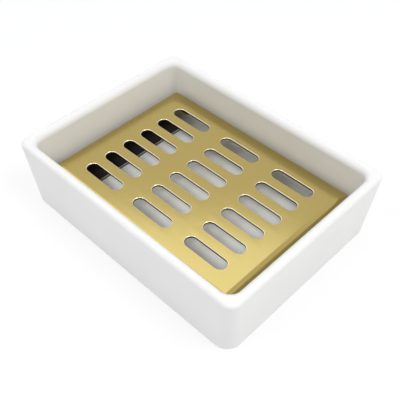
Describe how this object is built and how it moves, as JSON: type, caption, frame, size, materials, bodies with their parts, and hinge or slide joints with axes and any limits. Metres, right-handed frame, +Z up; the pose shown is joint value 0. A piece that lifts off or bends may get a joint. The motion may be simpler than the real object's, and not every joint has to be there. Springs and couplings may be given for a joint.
{
  "type": "soap dish",
  "caption": "Rectangular white ceramic soap dish with leaning walls and a lift-out slotted drain plate of gold-coloured metal that stands on black cushion strips.",
  "frame": {"origin": "middle of the foot ring, on the surface that the tray stands on", "axes": "+X along the long side, +Y along the short side, +Z up"},
  "size_m": [0.1348, 0.1008, 0.0354],
  "materials": {
    "white_ceramic": "smooth matt to satin white",
    "gold_sheet": "satin gold-coloured coating; the base metal is not shown and is taken to be steel",
    "black_cushion": "matt black; the material is not shown and is taken to be rubber"
  },
  "bodies": {
    "root": {"ceramic_tray": "white_ceramic", "drain_plate": "gold_sheet", "cushion_strip_left": "black_cushion", "cushion_strip_right": "black_cushion"}
  },
  "joints": []
}
